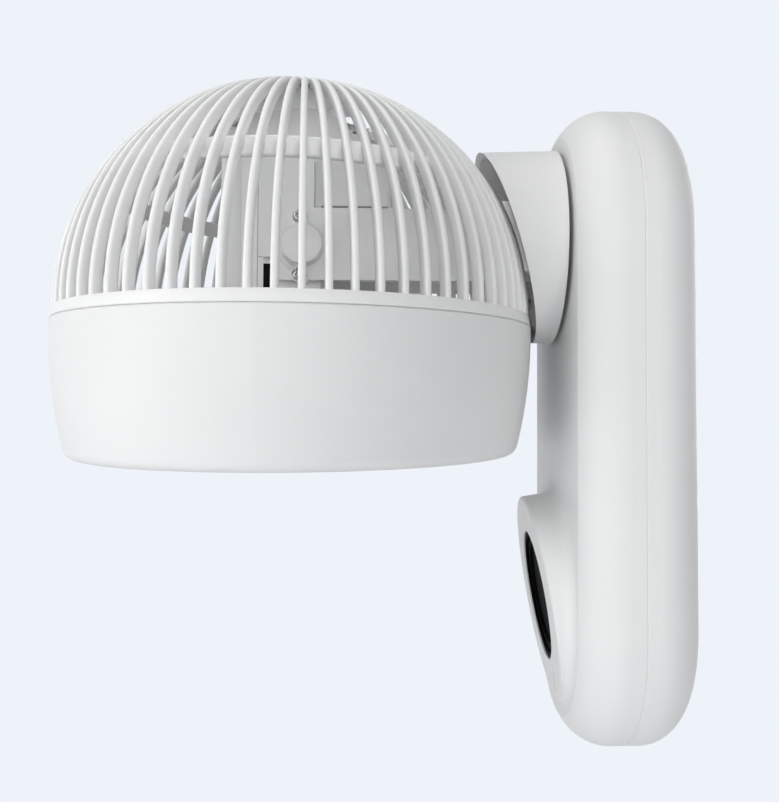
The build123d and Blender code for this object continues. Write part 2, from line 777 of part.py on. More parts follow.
with BuildPart() as neck_arm:
    # broad root, scooped to follow the dome
    with BuildSketch(facing_room(neck_root_y, pivot_z)):
        with Locations((0, (neck_up - root_down) / 2)):
            Rectangle(2 * root_half_width, neck_up + root_down)
    extrude(amount=neck_root_y - head_y - dome_radius / 2)
    with Locations((0, head_y, dome_z)):
        Sphere(dome_radius + root_clearance, mode=Mode.SUBTRACT)
    # arm and cheek plates
    with BuildSketch(pivot.offset(-neck_half_width)):
        with Locations(((neck_root_y - pivot_y) / 2, (neck_up - neck_down) / 2)):
            Rectangle(neck_root_y - pivot_y, neck_height)
        with Locations(((cheek_back - cheek_front) / 2, (cheek_up - neck_down) / 2)):
            RectangleRounded(cheek_back + cheek_front, cheek_up + neck_down, neck_corner)
        with Locations((-cheek_front, -neck_down)):
            Rectangle(2 * cheek_notch_width, 2 * cheek_notch_height, mode=Mode.SUBTRACT)
        with Locations((0, -tilt_hole_spacing / 2)):
            Circle(tilt_ear_radius)
    extrude(amount=2 * neck_half_width)
    with BuildSketch(facing_room(neck_root_y, pan_z)):
        Circle(neck_flange_radius)
    extrude(amount=neck_flange_thick)
    # the space between the cheeks
    with BuildSketch(pivot.offset(-neck_half_width + cheek_thick)):
        with Locations((fork_depth / 2 - cheek_front, 0)):
            Rectangle(fork_depth + 2 * cheek_front, 4 * cheek_up)
    extrude(amount=2 * (neck_half_width - cheek_thick), mode=Mode.SUBTRACT)
    # cable duct through the root
    with BuildSketch(facing_room(neck_root_y, neck_middle_z)):
        RectangleRounded(2 * (neck_half_width - neck_wall), neck_height - 2 * neck_wall, 2)
    extrude(amount=neck_root_y - web_y - neck_wall, mode=Mode.SUBTRACT)
    with BuildSketch(facing_room(neck_root_y, neck_middle_z)):
        Circle(cable_radius)
    extrude(amount=neck_root_y - web_y, mode=Mode.SUBTRACT)
    with BuildSketch(facing_room(neck_root_y, pan_z)):
        with Locations(*neck_places):
            Circle(screw_radius + run_gap)
    extrude(amount=neck_flange_thick, mode=Mode.SUBTRACT)
    # pivot bores and the tilt stepper's screw holes
    with BuildSketch(pivot):
        Circle(tilt_shaft_radius + run_gap)
    extrude(amount=neck_half_width, both=True, mode=Mode.SUBTRACT)
    with BuildSketch(pivot.offset(neck_half_width)):
        with Locations((0, tilt_hole_spacing / 2), (0, -tilt_hole_spacing / 2)):
            Circle(screw_radius + run_gap)
    extrude(amount=-cheek_thick, mode=Mode.SUBTRACT)
save(neck_arm, "neck_arm")

screws(
    "neck_screws",
    facing_room(neck_root_y - neck_flange_thick, pan_z),
    neck_places,
    neck_flange_thick,
    collar_floor - fit_gap,
)

with BuildPart() as tilt_stepper:
    with BuildSketch(pivot.offset(neck_half_width)):
        Circle(tilt_motor_radius)
    extrude(amount=tilt_motor_height)
    chamfer(tilt_stepper.edges().filter_by(GeomType.CIRCLE).sort_by(Axis.X)[-1], 0.8)
    with BuildSketch(pivot.offset(neck_half_width)):
        SlotCenterToCenter(tilt_hole_spacing, 2 * tilt_ear_radius, rotation=90)
        with Locations((0, tilt_hole_spacing / 2), (0, -tilt_hole_spacing / 2)):
            Circle(screw_radius + run_gap, mode=Mode.SUBTRACT)
    extrude(amount=1.2)
    with BuildSketch(pivot.offset(neck_half_width)):
        Circle(tilt_shaft_radius + run_gap)
    extrude(amount=tilt_motor_height - 3, mode=Mode.SUBTRACT)
save(tilt_stepper, "tilt_stepper")

screws(
    "tilt_stepper_screws",
    pivot.offset(neck_half_width + 1.2),
    [(0, tilt_hole_spacing / 2), (0, -tilt_hole_spacing / 2)],
    1.2,
    cheek_thick - 0.5,
)

# ================================================================ head: tilt shaft and tower
with BuildPart() as tilt_shaft:
    with BuildSketch(pivot.offset(-neck_half_width - 3)):
        Circle(tilt_shaft_radius)
    extrude(amount=2 * neck_half_width + 3 + tilt_motor_height - 4)
save(tilt_shaft, "tilt_shaft")

with BuildPart() as tilt_clip:
    with BuildSketch(pivot.offset(-neck_half_width - fit_gap)):
        Circle(tilt_shaft_radius + 3)
        Circle(tilt_shaft_radius + run_gap, mode=Mode.SUBTRACT)
    extrude(amount=-2)
save(tilt_clip, "tilt_clip")

tower_half = neck_half_width - cheek_thick - cheek_gap


def tower_side():
    # side view of the tower: local x is behind the head's axis, local y is above the seam
    with BuildSketch() as side:
        with BuildLine():
            Polyline(
                (-tower_front, tower_top - tower_corner),
                (-tower_front, housing_top),
                (tower_stem, housing_top),
                (tower_stem, tower_eave),
                (tower_back, tower_eave),
                (tower_back, tower_shoulder),
                (tower_crown, tower_top),
                (tower_corner - tower_front, tower_top),
            )
            RadiusArc(
                (-tower_front, tower_top - tower_corner),
                (tower_corner - tower_front, tower_top),
                tower_corner,
            )
        make_face()
    return side.sketch


tower_places = [(side * 31, level * 10) for side in (-1, 1) for level in (-1, 1)]
with BuildPart() as tower:
    with BuildSketch(across(-tower_half, head_y, seam_z)):
        add(tower_side())
    extrude(amount=2 * tower_half)
    with BuildSketch(head_level(housing_top)):
        Circle(housing_radius - 2)
    extrude(amount=tower_flange)
    # hollow, open underneath
    with BuildSketch(across(tower_wall - tower_half, head_y, seam_z)):
        add(tower_side())
        offset(amount=-tower_wall, kind=Kind.INTERSECTION)
        with Locations(((tower_stem - tower_front) / 2, housing_top)):
            Rectangle(tower_front + tower_stem - 2 * tower_wall, 4 * tower_wall)
    extrude(amount=2 * (tower_half - tower_wall), mode=Mode.SUBTRACT)
    with BuildSketch(across(0, head_y, seam_z)):
        with Locations((-wire_slot_front, wire_slot_rise)):
            Rectangle(wire_slot_width, wire_slot_height)
    extrude(amount=tower_half, both=True, mode=Mode.SUBTRACT)
    # bosses round the tilt shaft
    with BuildSketch(pivot.offset(-tower_half)):
        Circle(pivot_boss_radius)
    extrude(amount=8)
    with BuildSketch(pivot.offset(tower_half)):
        Circle(pivot_boss_radius)
    extrude(amount=-8)
    with BuildSketch(pivot):
        Circle(tilt_shaft_radius + run_gap)
    extrude(amount=neck_half_width, both=True, mode=Mode.SUBTRACT)
    with BuildSketch(head_level(housing_top)):
        with Locations(*tower_places):
            Circle(screw_radius + run_gap)
    extrude(amount=tower_flange, mode=Mode.SUBTRACT)
save(tower, "tower")

screws(
    "tower_screws",
    head_level(housing_top + tower_flange),
    tower_places,
    tower_flange,
    housing_wall - fit_gap,
)

# ================================================================ head: motor and its frame
with BuildPart() as motor_housing:
    with BuildSketch(head_level(housing_top)):
        Circle(housing_radius)
    extrude(amount=-housing_height)
    fillet(motor_housing.edges().filter_by(GeomType.CIRCLE).sort_by(Axis.Z)[-1], 1.5)
    with BuildSketch(head_level(-strut_depth)):
        Circle(frame_hub_radius)
    extrude(amount=-2)
    with BuildSketch(head_level(housing_top - housing_wall)):
        Circle(housing_radius - housing_wall)
    extrude(amount=-housing_height, mode=Mode.SUBTRACT)
    with BuildSketch(head_level(housing_top)):
        with Locations(*tower_places):
            Circle(screw_radius + run_gap)
        Circle(cable_radius)
    extrude(amount=-housing_wall, mode=Mode.SUBTRACT)
save(motor_housing, "motor_housing")

frame_outer = ring_inner - fit_gap
with BuildPart() as motor_frame:
    with BuildSketch(head_level(0)):
        Circle(frame_outer)
        Circle(frame_outer - frame_ring_width, mode=Mode.SUBTRACT)
        Circle(frame_hub_radius)
        with PolarLocations((frame_outer + frame_hub_radius) / 2 - 1, strut_count, 30):
            Rectangle(frame_outer - frame_hub_radius, strut_width)
        with PolarLocations(head_lug_circle, strut_count, 30):
            Circle(head_lug_radius)
        Circle(housing_radius + 0.1, mode=Mode.SUBTRACT)
        with PolarLocations(head_lug_circle, strut_count, 30):
            Circle(screw_radius + run_gap, mode=Mode.SUBTRACT)
    extrude(amount=-strut_depth)
save(motor_frame, "motor_frame")

with BuildPart() as motor:
    with BuildSketch(head_level(housing_top - housing_wall)):
        Circle(can_radius)
    extrude(amount=-can_height)
    chamfer(motor.edges().filter_by(GeomType.CIRCLE), 1)
    with BuildSketch(head_level(housing_top - housing_wall - 3)):
        Circle(shaft_radius + run_gap)
    extrude(amount=-can_height, mode=Mode.SUBTRACT)
save(motor, "motor")

# ================================================================ rotor
impeller_top = housing_top - housing_height - impeller_gap
impeller_bottom = impeller_top - impeller_depth
with BuildPart() as motor_shaft:
    with BuildSketch(head_level(housing_top - housing_wall - 4)):
        Circle(shaft_radius)
    extrude(amount=-(housing_top - housing_wall - 4 - impeller_bottom) - nut_height + 1)
save(motor_shaft, "motor_shaft")


def blade_section(radius, pitch):
    # a thin slice square to the blade's own radius, tipped by its pitch
    middle = (impeller_top + impeller_bottom) / 2
    place = Plane((radius, head_y, seam_z + middle), x_dir=(0, 1, 0), z_dir=(1, 0, 0))
    chord = (impeller_depth - 4) / cos(radians(pitch))
    with BuildSketch(place) as section:
        Rectangle(blade_thick, chord, rotation=pitch)
    return section.sketch


with BuildPart() as blade:
    loft([blade_section(30, blade_root_pitch), blade_section(blade_tip_radius + 3.5, blade_tip_pitch)], ruled=True)
with BuildPart() as impeller:
    for turn in range(blade_count):
        add(blade.part.rotate(head_axis, turn * 360 / blade_count))
    with BuildSketch(head_level(impeller_bottom)):
        Circle(blade_tip_radius)
        Circle(hub_cup_radius - hub_cup_wall, mode=Mode.SUBTRACT)
    extrude(amount=impeller_depth, mode=Mode.INTERSECT)
    with BuildSketch(head_level(impeller_top)):
        Circle(hub_cup_radius)
        Circle(hub_cup_radius - hub_cup_wall, mode=Mode.SUBTRACT)
    extrude(amount=-impeller_depth)
    with BuildSketch(head_level(impeller_bottom)):
        Circle(hub_cup_radius)
    extrude(amount=hub_cup_wall)
    with BuildSketch(head_level(impeller_bottom)):
        Circle(shaft_radius + 4)
    extrude(amount=impeller_depth / 2)
    with BuildSketch(head_level(impeller_bottom)):
        Circle(shaft_radius + run_gap)
    extrude(amount=impeller_depth / 2, mode=Mode.SUBTRACT)
save(impeller, "impeller")

with BuildPart() as spinner_nut:
    with BuildSketch(head_level(impeller_bottom)):
        Circle(nut_radius)
        Circle(shaft_radius + run_gap, mode=Mode.SUBTRACT)
    extrude(amount=-nut_height)
    chamfer(
        spinner_nut.edges().filter_by(GeomType.CIRCLE).group_by(Axis.Z)[0].sort_by(SortBy.RADIUS)[-1],
        1.5,
    )
save(spinner_nut, "spinner_nut")

# ================================================================ front ring and grille
with BuildPart() as front_ring:
    with BuildSketch(Plane((0, head_y, seam_z), x_dir=(1, 0, 0), z_dir=(0, -1, 0))):
        with BuildLine():
            outer = ThreePointArc(
                (seam_radius, -seam_groove),
                (seam_radius - 0.232 * (seam_radius - front_radius), -ring_height / 2),
                (front_radius + 0.6, -ring_height + ring_corner),
            )
            corner = TangentArc(
                outer @ 1, (front_radius + 0.6 - ring_corner, -ring_height), tangent=outer % 1
            )
            Polyline(
                corner @ 1,
                (front_radius - ring_lip, -ring_height),
                (front_radius - ring_lip, -ring_height + ring_wall),
                (front_radius - ring_wall - 2.4, -ring_height + ring_wall),
            )
            inner = ThreePointArc(
                (front_radius - ring_wall - 2.4, -ring_height + ring_wall),
                (ring_inner - 0.32 * (seam_radius - front_radius), -ring_height / 2),
                (ring_inner, 0),
            )
            Polyline(inner @ 1, (seam_radius - seam_groove, 0), outer @ 0)
        make_face()
    revolve(axis=head_axis)
    # lugs under the motor frame, which the long screws pass through
    with BuildSketch(head_level(-strut_depth)):
        with PolarLocations(head_lug_circle, strut_count, 30):
            Circle(head_lug_radius)
        with PolarLocations(head_lug_circle + 3, strut_count, 30):
            Rectangle(6, 2 * head_lug_radius)
    extrude(amount=-head_lug_thick)
    with BuildSketch(head_level(-strut_depth)):
        with PolarLocations(head_lug_circle, strut_count, 30):
            Circle(screw_radius + run_gap)
    extrude(amount=-head_lug_thick, mode=Mode.SUBTRACT)
save(front_ring, "front_ring")

screws(
    "head_screws",
    Plane(
        (0, head_y, seam_z - strut_depth - head_lug_thick), x_dir=(-1, 0, 0), z_dir=(0, 0, -1)
    ),
    [
        (head_lug_circle * cos(radians(turn)), head_lug_circle * sin(radians(turn)))
        for turn in (30, 90, 150, 210, 270, 330)
    ],
    head_lug_thick + strut_depth,
    rim_height - 1.5,
)

grille_top = -ring_height + ring_wall + grille_thick
grille_outer = front_radius - ring_wall - 2.4 - 1.0
with BuildSketch() as grille_bar:
    with BuildLine():
        bar_points = []
        for step in range(4):
            share = step / 3
            radius = grille_hub_radius - 1 + share * (grille_outer - 1 - grille_hub_radius)
            turn = radians(grille_sweep * share * share)
            bar_points.append((radius * cos(turn), radius * sin(turn)))
        Polyline(*bar_points)
    trace(line_width=grille_bar_width)

with BuildPart() as front_grille:
    with BuildSketch(head_level(grille_top - grille_thick)):
        Circle(grille_outer)
        Circle(grille_outer - grille_outer_rim, mode=Mode.SUBTRACT)
        with PolarLocations(0, grille_bar_count):
            add(grille_bar.sketch)
        Circle(grille_hub_radius)
    extrude(amount=grille_thick)
    with BuildSketch(head_level(grille_top - grille_thick)):
        Circle(grille_ring_radius + 1.6)
        Circle(grille_ring_radius - 1.6, mode=Mode.SUBTRACT)
    extrude(amount=grille_thick)
save(front_grille, "front_grille")

with BuildPart() as grille_badge:
    with BuildSketch(head_level(grille_top - grille_thick)):
        Circle(badge_radius)
    extrude(amount=-badge_height)
    chamfer(grille_badge.edges().filter_by(GeomType.CIRCLE).sort_by(Axis.Z)[0], 0.8)
save(grille_badge, "grille_badge")

# ================================================================ rear guard
# Ribs run over the dome from the rim to a polar cap. A slot from the wall side up over the pole
# lets the neck pass while the head tilts, and a hoop ties the ribs together from inside. The rim,
# the hoop and the cap have one flat side between each two ribs.
dome_section = Plane((0, head_y, dome_z), x_dir=(1, 0, 0), z_dir=(0, -1, 0))
dome_side = Plane((0, head_y, dome_z), x_dir=(0, 1, 0), z_dir=(1, 0, 0))
slot_half = neck_half_width + slot_clearance
slot_foot = pivot_rise - neck_down - slot_end_clearance
slot_over = pivot_back - neck_up - slot_end_clearance


def dome_height(radius):
    # height of the dome's outside above its own centre, a given distance from the axis
    return sqrt(dome_radius**2 - radius**2)


def bow_points(radius, start, stop, count):
    return [
        (
            radius * cos(start + (stop - start) * step / count),
            radius * sin(start + (stop - start) * step / count),
        )
        for step in range(count + 1)
    ]


foot_turn = radians(-1.2)
with BuildPart() as rib:
    with BuildSketch(dome_section):
        with BuildLine():
            outside = bow_points(
                dome_radius, foot_turn, acos(rib_top_radius / dome_radius), rib_chords
            )
            inside = bow_points(rib_inner, acos(rib_top_radius / rib_inner), foot_turn, rib_chords)
            Polyline(*outside, *inside, close=True)
        make_face()
    extrude(amount=rib_width / 2, both=True)
ribs = [
    rib.part.rotate(head_axis, rib_phase + turn * 360 / rib_count) for turn in range(rib_count)
]

# rails along both sides of the slot
rail_radius = sqrt(dome_radius**2 - (slot_half + slot_rail / 2) ** 2) - 0.4
rail_turn = asin((slot_foot - dome_lift - slot_rail) / rail_radius)
rail_depth = rib_depth - 0.8
with BuildPart() as rails:
    for side in (-1, 1):
        with BuildSketch(dome_side.offset(side * (slot_half + slot_rail / 2))):
            with BuildLine():
                outside = bow_points(rail_radius, rail_turn, radians(82), 10)
                inside = bow_points(rail_radius - rail_depth, radians(82), rail_turn, 10)
                Polyline(*outside, *inside, close=True)
            make_face()
        extrude(amount=slot_rail / 2, both=True)
    with BuildSketch(head_level(slot_foot - slot_rail)):
        with Locations((0, rail_radius - rail_depth / 2 - 0.9)):
            Rectangle(2 * (slot_half + slot_rail), rail_depth)
    extrude(amount=slot_rail)

with BuildPart() as slot_cut:
    with BuildSketch(head_level(slot_foot)):
        with Locations((0, slot_over + dome_radius)):
            Rectangle(2 * slot_half, 2 * dome_radius)
    extrude(amount=2 * dome_radius)

with BuildPart() as rear_guard:
    # rim that stands on the ring
    with BuildSketch(head_level(0)):
        RegularPolygon(seam_radius, rib_count, rotation=rib_phase)
    extrude(amount=rim_height, taper=atan((seam_radius - dome_radius) / rim_height) * 180 / pi)
    with BuildSketch(head_level(0)):
        RegularPolygon(rib_inner, rib_count, rotation=rib_phase)
    extrude(amount=rim_height, mode=Mode.SUBTRACT)
    add(ribs)
    # hoop inside the ribs
    with BuildSketch(head_level(hoop_lift)):
        RegularPolygon(hoop_outer_radius, rib_count, rotation=rib_phase)
        RegularPolygon(hoop_inner_radius, rib_count, rotation=rib_phase, mode=Mode.SUBTRACT)
    extrude(amount=hoop_height)
    # polar cap in three steps: rim, shoulder and crown
    with BuildSketch(head_level(dome_lift + dome_height(cap_radius) - cap_thick)):
        RegularPolygon(cap_radius, rib_count, rotation=rib_phase)
    extrude(amount=cap_thick - 0.7)
    shoulder_rise = dome_height(cap_shoulder_radius) - dome_height(cap_radius)
    with BuildSketch(head_level(dome_lift + dome_height(cap_radius) - 0.7)):
        RegularPolygon(cap_radius, rib_count, rotation=rib_phase)
    extrude(
        amount=shoulder_rise,
        taper=atan((cap_radius - cap_shoulder_radius) / shoulder_rise) * 180 / pi,
    )
    crown_rise = dome_height(cap_crown_radius) - dome_height(cap_shoulder_radius)
    with BuildSketch(head_level(dome_lift + dome_height(cap_shoulder_radius) - 0.7)):
        RegularPolygon(cap_shoulder_radius, rib_count // 2, rotation=rib_phase)
    extrude(
        amount=crown_rise,
        taper=atan((cap_shoulder_radius - cap_crown_radius) / crown_rise) * 180 / pi,
    )
    add(rails.part)
    add(slot_cut.part, mode=Mode.SUBTRACT)
    # lugs for the long screws
    with BuildSketch(head_level(0)):
        with PolarLocations(head_lug_circle, strut_count, 30):
            Circle(head_lug_radius)
    extrude(amount=rim_height)
    with BuildSketch(head_level(0)):
        with PolarLocations(head_lug_circle, strut_count, 30):
            Circle(screw_radius + run_gap)
    extrude(amount=rim_height - 1.2, mode=Mode.SUBTRACT)
save(rear_guard, "rear_guard")
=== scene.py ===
import bmesh
import bpy
import json
import math
from mathutils import Matrix, Vector


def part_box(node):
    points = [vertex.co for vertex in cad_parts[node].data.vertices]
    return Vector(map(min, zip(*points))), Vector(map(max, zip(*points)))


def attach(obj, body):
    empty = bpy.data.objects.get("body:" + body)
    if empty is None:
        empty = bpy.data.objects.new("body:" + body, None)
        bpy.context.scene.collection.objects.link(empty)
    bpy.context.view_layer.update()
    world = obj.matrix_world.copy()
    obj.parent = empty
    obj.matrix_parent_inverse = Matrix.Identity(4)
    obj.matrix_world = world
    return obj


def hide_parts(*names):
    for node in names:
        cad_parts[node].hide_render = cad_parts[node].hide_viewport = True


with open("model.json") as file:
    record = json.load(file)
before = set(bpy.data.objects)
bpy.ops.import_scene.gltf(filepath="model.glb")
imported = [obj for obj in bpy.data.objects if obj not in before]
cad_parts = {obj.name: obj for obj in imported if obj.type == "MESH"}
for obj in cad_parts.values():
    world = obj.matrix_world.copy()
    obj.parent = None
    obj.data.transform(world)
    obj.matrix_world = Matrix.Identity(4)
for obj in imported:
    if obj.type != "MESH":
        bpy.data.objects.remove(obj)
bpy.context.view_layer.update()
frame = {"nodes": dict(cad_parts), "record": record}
print("frame loaded:", len(frame["nodes"]), "nodes")

# camera, floor and light
cameraLook = {
    "place": (0.41684, -0.1371, 0.0159),
    "ahead": (-0.99897, 0.0286, 0.0354),
    "rollDegrees": -0.23,
    "lens": 33.775,
    "shift": (-0.0581, -0.0436),
}
stageLook = {
    "floorHeight": -0.55,
    "size": 8.0,
    "seenColor": (0.855, 0.896, 0.947),
    "floorColor": (0.80, 0.82, 0.85),
}
lightLook = {
    "worldColor": (0.95, 0.97, 1.0),
    "worldStrength": 0.13,
    "key": {"place": (0.85, -1.55, 0.4), "size": 1.1, "power": 11.4},
    "fill": {"place": (1.5, 0.2, 0.1), "size": 1.2, "power": 10.3},
    "top": {"place": (0.1, -0.5, 1.5), "size": 1.2, "power": 9.0},
    "low": {"place": (0.5, -1.1, -0.45), "size": 0.7, "power": 3.2},
    "back": {"place": (-1.4, 1.1, 0.4), "size": 1.2, "power": 13.0},
}


def addCamera(look):
    bpy.ops.object.camera_add(location=look["place"])
    camera = bpy.context.object
    camera.name = "photoCamera"
    ahead = Vector(look["ahead"]).normalized()
    right = ahead.cross(Vector((0, 0, 1))).normalized()
    up = right.cross(ahead)
    roll = math.radians(look["rollDegrees"])
    turnedRight = right * math.cos(roll) - up * math.sin(roll)
    turnedUp = right * math.sin(roll) + up * math.cos(roll)
    turn = Matrix((turnedRight, turnedUp, -ahead)).transposed()
    camera.rotation_euler = turn.to_euler()
    camera.data.lens = look["lens"]
    camera.data.sensor_fit = "AUTO"
    camera.data.sensor_width = 36
    camera.data.shift_x, camera.data.shift_y = look["shift"]
    camera.data.clip_start = 0.01
    bpy.context.scene.camera = camera


def addLamp(name, look, aim=(0, -0.15, 0)):
    bpy.ops.object.light_add(type="AREA", location=look["place"])
    lamp = bpy.context.object
    lamp.name = name
    lamp.data.size = look["size"]
    lamp.data.energy = look["power"]
    reach = Vector(aim) - Vector(look["place"])
    lamp.rotation_euler = reach.to_track_quat("-Z", "Y").to_euler()


def seenMask(nodes, links):
    # 1 for what the camera, a reflection or clear plastic shows
    path = nodes.new("ShaderNodeLightPath")
    mask = path.outputs["Is Camera Ray"]
    for ray in ("Is Glossy Ray", "Is Transmission Ray"):
        either = nodes.new("ShaderNodeMath")
        either.operation = "MAXIMUM"
        links.new(mask, either.inputs[0])
        links.new(path.outputs[ray], either.inputs[1])
        mask = either.outputs[0]
    return mask


def seenPlain(name, seen, lit):
    # shows one plain colour to the camera and in reflections, and takes light as a pale surface
    made = bpy.data.materials.new(name)
    made.use_nodes = True
    nodes, links = made.node_tree.nodes, made.node_tree.links
    nodes.clear()
    out = nodes.new("ShaderNodeOutputMaterial")
    mix = nodes.new("ShaderNodeMixShader")
    plain = nodes.new("ShaderNodeEmission")
    plain.inputs["Color"].default_value = (*seen, 1)
    matt = nodes.new("ShaderNodeBsdfDiffuse")
    matt.inputs["Color"].default_value = (*lit, 1)
    links.new(seenMask(nodes, links), mix.inputs[0])
    links.new(matt.outputs[0], mix.inputs[1])
    links.new(plain.outputs[0], mix.inputs[2])
    links.new(mix.outputs[0], out.inputs[0])
    return made


def addStage(look):
    seen = seenPlain("paleBackdrop", look["seenColor"], look["floorColor"])
    bpy.ops.mesh.primitive_plane_add(size=look["size"], location=(0, 0, look["floorHeight"]))
    floor = bpy.context.object
    floor.name = "floor"
    floor.data.materials.append(seen)
    world = bpy.context.scene.world or bpy.data.worlds.new("studio")
    bpy.context.scene.world = world
    world.use_nodes = True
    nodes, links = world.node_tree.nodes, world.node_tree.links
    nodes.clear()
    out = nodes.new("ShaderNodeOutputWorld")
    mix = nodes.new("ShaderNodeMixShader")
    soft = nodes.new("ShaderNodeBackground")
    soft.inputs["Color"].default_value = (*lightLook["worldColor"], 1)
    soft.inputs["Strength"].default_value = lightLook["worldStrength"]
    plain = nodes.new("ShaderNodeBackground")
    plain.inputs["Color"].default_value = (*look["seenColor"], 1)
    plain.inputs["Strength"].default_value = 1.0
    links.new(seenMask(nodes, links), mix.inputs[0])
    links.new(soft.outputs[0], mix.inputs[1])
    links.new(plain.outputs[0], mix.inputs[2])
    links.new(mix.outputs[0], out.inputs[0])


bpy.ops.object.select_all(action="DESELECT")
addCamera(cameraLook)
addStage(stageLook)
for lampName in ("key", "fill", "top", "low", "back"):
    addLamp(lampName, lightLook[lampName])
bpy.context.scene.view_settings.view_transform = "Standard"
print("camera, floor and light made")


# finishes
def mouldGroup():
    # fine spark grain of a moulded skin, with slow shifts of tone and of roughness
    group = bpy.data.node_groups.new("mouldedSkin", "ShaderNodeTree")
    for name, kind, start in (
        ("Color", "NodeSocketColor", (0.8, 0.8, 0.8, 1)),
        ("Tone Shift", "NodeSocketFloat", 0.03),
        ("Grain Size", "NodeSocketFloat", 2600.0),
        ("Roughness", "NodeSocketFloat", 0.45),
    ):
        socket = group.interface.new_socket(name, in_out="INPUT", socket_type=kind)
        socket.default_value = start
    group.interface.new_socket("Color", in_out="OUTPUT", socket_type="NodeSocketColor")
    group.interface.new_socket("Roughness", in_out="OUTPUT", socket_type="NodeSocketFloat")
    group.interface.new_socket("Grain", in_out="OUTPUT", socket_type="NodeSocketFloat")
    nodes, links = group.nodes, group.links
    entry = nodes.new("NodeGroupInput")
    leave = nodes.new("NodeGroupOutput")
    place = nodes.new("ShaderNodeTexCoord")
    slow = nodes.new("ShaderNodeTexNoise")
    slow.inputs["Scale"].default_value = 14
    slow.inputs["Detail"].default_value = 4
    links.new(place.outputs["Object"], slow.inputs["Vector"])
    spread = nodes.new("ShaderNodeMapRange")
    spread.inputs["From Min"].default_value = 0.3
    spread.inputs["From Max"].default_value = 0.7
    links.new(slow.outputs["Fac"], spread.inputs["Value"])
    depth = nodes.new("ShaderNodeMath")
    depth.operation = "MULTIPLY"
    links.new(spread.outputs[0], depth.inputs[0])
    links.new(entry.outputs["Tone Shift"], depth.inputs[1])
    less = nodes.new("ShaderNodeMath")
    less.operation = "SUBTRACT"
    less.inputs[0].default_value = 1
    links.new(depth.outputs[0], less.inputs[1])
    tint = nodes.new("ShaderNodeVectorMath")
    tint.operation = "SCALE"
    links.new(entry.outputs["Color"], tint.inputs[0])
    links.new(less.outputs[0], tint.inputs["Scale"])
    links.new(tint.outputs[0], leave.inputs["Color"])
    grain = nodes.new("ShaderNodeTexNoise")
    grain.inputs["Detail"].default_value = 3
    grain.inputs["Roughness"].default_value = 0.6
    links.new(place.outputs["Object"], grain.inputs["Vector"])
    links.new(entry.outputs["Grain Size"], grain.inputs["Scale"])
    links.new(grain.outputs["Fac"], leave.inputs["Grain"])
    vary = nodes.new("ShaderNodeMapRange")
    vary.inputs["To Min"].default_value = -0.05
    vary.inputs["To Max"].default_value = 0.05
    links.new(slow.outputs["Fac"], vary.inputs["Value"])
    total = nodes.new("ShaderNodeMath")
    total.operation = "ADD"
    links.new(entry.outputs["Roughness"], total.inputs[0])
    links.new(vary.outputs[0], total.inputs[1])
    links.new(total.outputs[0], leave.inputs["Roughness"])
    return group


mouldedSkin = mouldGroup()


def skinMaterial(
    name, color, roughness, toneShift=0.03, grainSize=2600.0, bump=0.00002, shine=0.45, metal=0.0
):
    made = bpy.data.materials.new(name)
    made.use_nodes = True
    nodes, links = made.node_tree.nodes, made.node_tree.links
    shader = nodes["Principled BSDF"]
    shader.inputs["Metallic"].default_value = metal
    shader.inputs["Specular IOR Level"].default_value = shine
    skin = nodes.new("ShaderNodeGroup")
    skin.node_tree = mouldedSkin
    skin.inputs["Color"].default_value = (*color, 1)
    skin.inputs["Tone Shift"].default_value = toneShift
    skin.inputs["Grain Size"].default_value = grainSize
    skin.inputs["Roughness"].default_value = roughness
    links.new(skin.outputs["Color"], shader.inputs["Base Color"])
    links.new(skin.outputs["Roughness"], shader.inputs["Roughness"])
    raised = nodes.new("ShaderNodeBump")
    raised.inputs["Strength"].default_value = 0.4 if metal else 0.6
    raised.inputs["Distance"].default_value = bump
    links.new(skin.outputs["Grain"], raised.inputs["Height"])
    links.new(raised.outputs[0], shader.inputs["Normal"])
    return made


finishLook = {
    "whiteShell": {"color": (0.82, 0.82, 0.815), "roughness": 0.5, "shine": 0.16},
    "whiteRib": {"color": (0.86, 0.86, 0.855), "roughness": 0.42, "shine": 0.3},
    "innerGrey": {"color": (0.88, 0.88, 0.875), "roughness": 0.5},
    "blackGloss": {"color": (0.002, 0.002, 0.0022), "roughness": 0.55, "shine": 0.01, "toneShift": 0.2},
    "gearWhite": {"color": (0.66, 0.64, 0.58), "roughness": 0.45},
    "darkPlastic": {"color": (0.03, 0.03, 0.032), "roughness": 0.5},
    "deepShade": {"color": (0.006, 0.006, 0.006), "roughness": 0.7, "shine": 0.05},
    "seamGrey": {"color": (0.42, 0.42, 0.42), "roughness": 0.6},
    "windowGrey": {"color": (0.50, 0.50, 0.50), "roughness": 0.35},
    "boardGreen": {"color": (0.01, 0.09, 0.035), "roughness": 0.35},
    "plateSteel": {"color": (0.60, 0.60, 0.59), "roughness": 0.4, "grainSize": 700.0, "bump": 0.00004},
}
metalLook = {
    "motorMetal": {"color": (0.58, 0.58, 0.57), "roughness": 0.38, "grainSize": 900.0},
    "shaftSteel": {"color": (0.66, 0.66, 0.66), "roughness": 0.25, "grainSize": 1500.0},
    "screwSteel": {"color": (0.55, 0.55, 0.54), "roughness": 0.35, "grainSize": 1200.0},
}
finishes = {name: skinMaterial(name, **look) for name, look in finishLook.items()}
for metalName, look in metalLook.items():
    finishes[metalName] = skinMaterial(metalName, toneShift=0.12, shine=0.5, metal=1.0, **look)

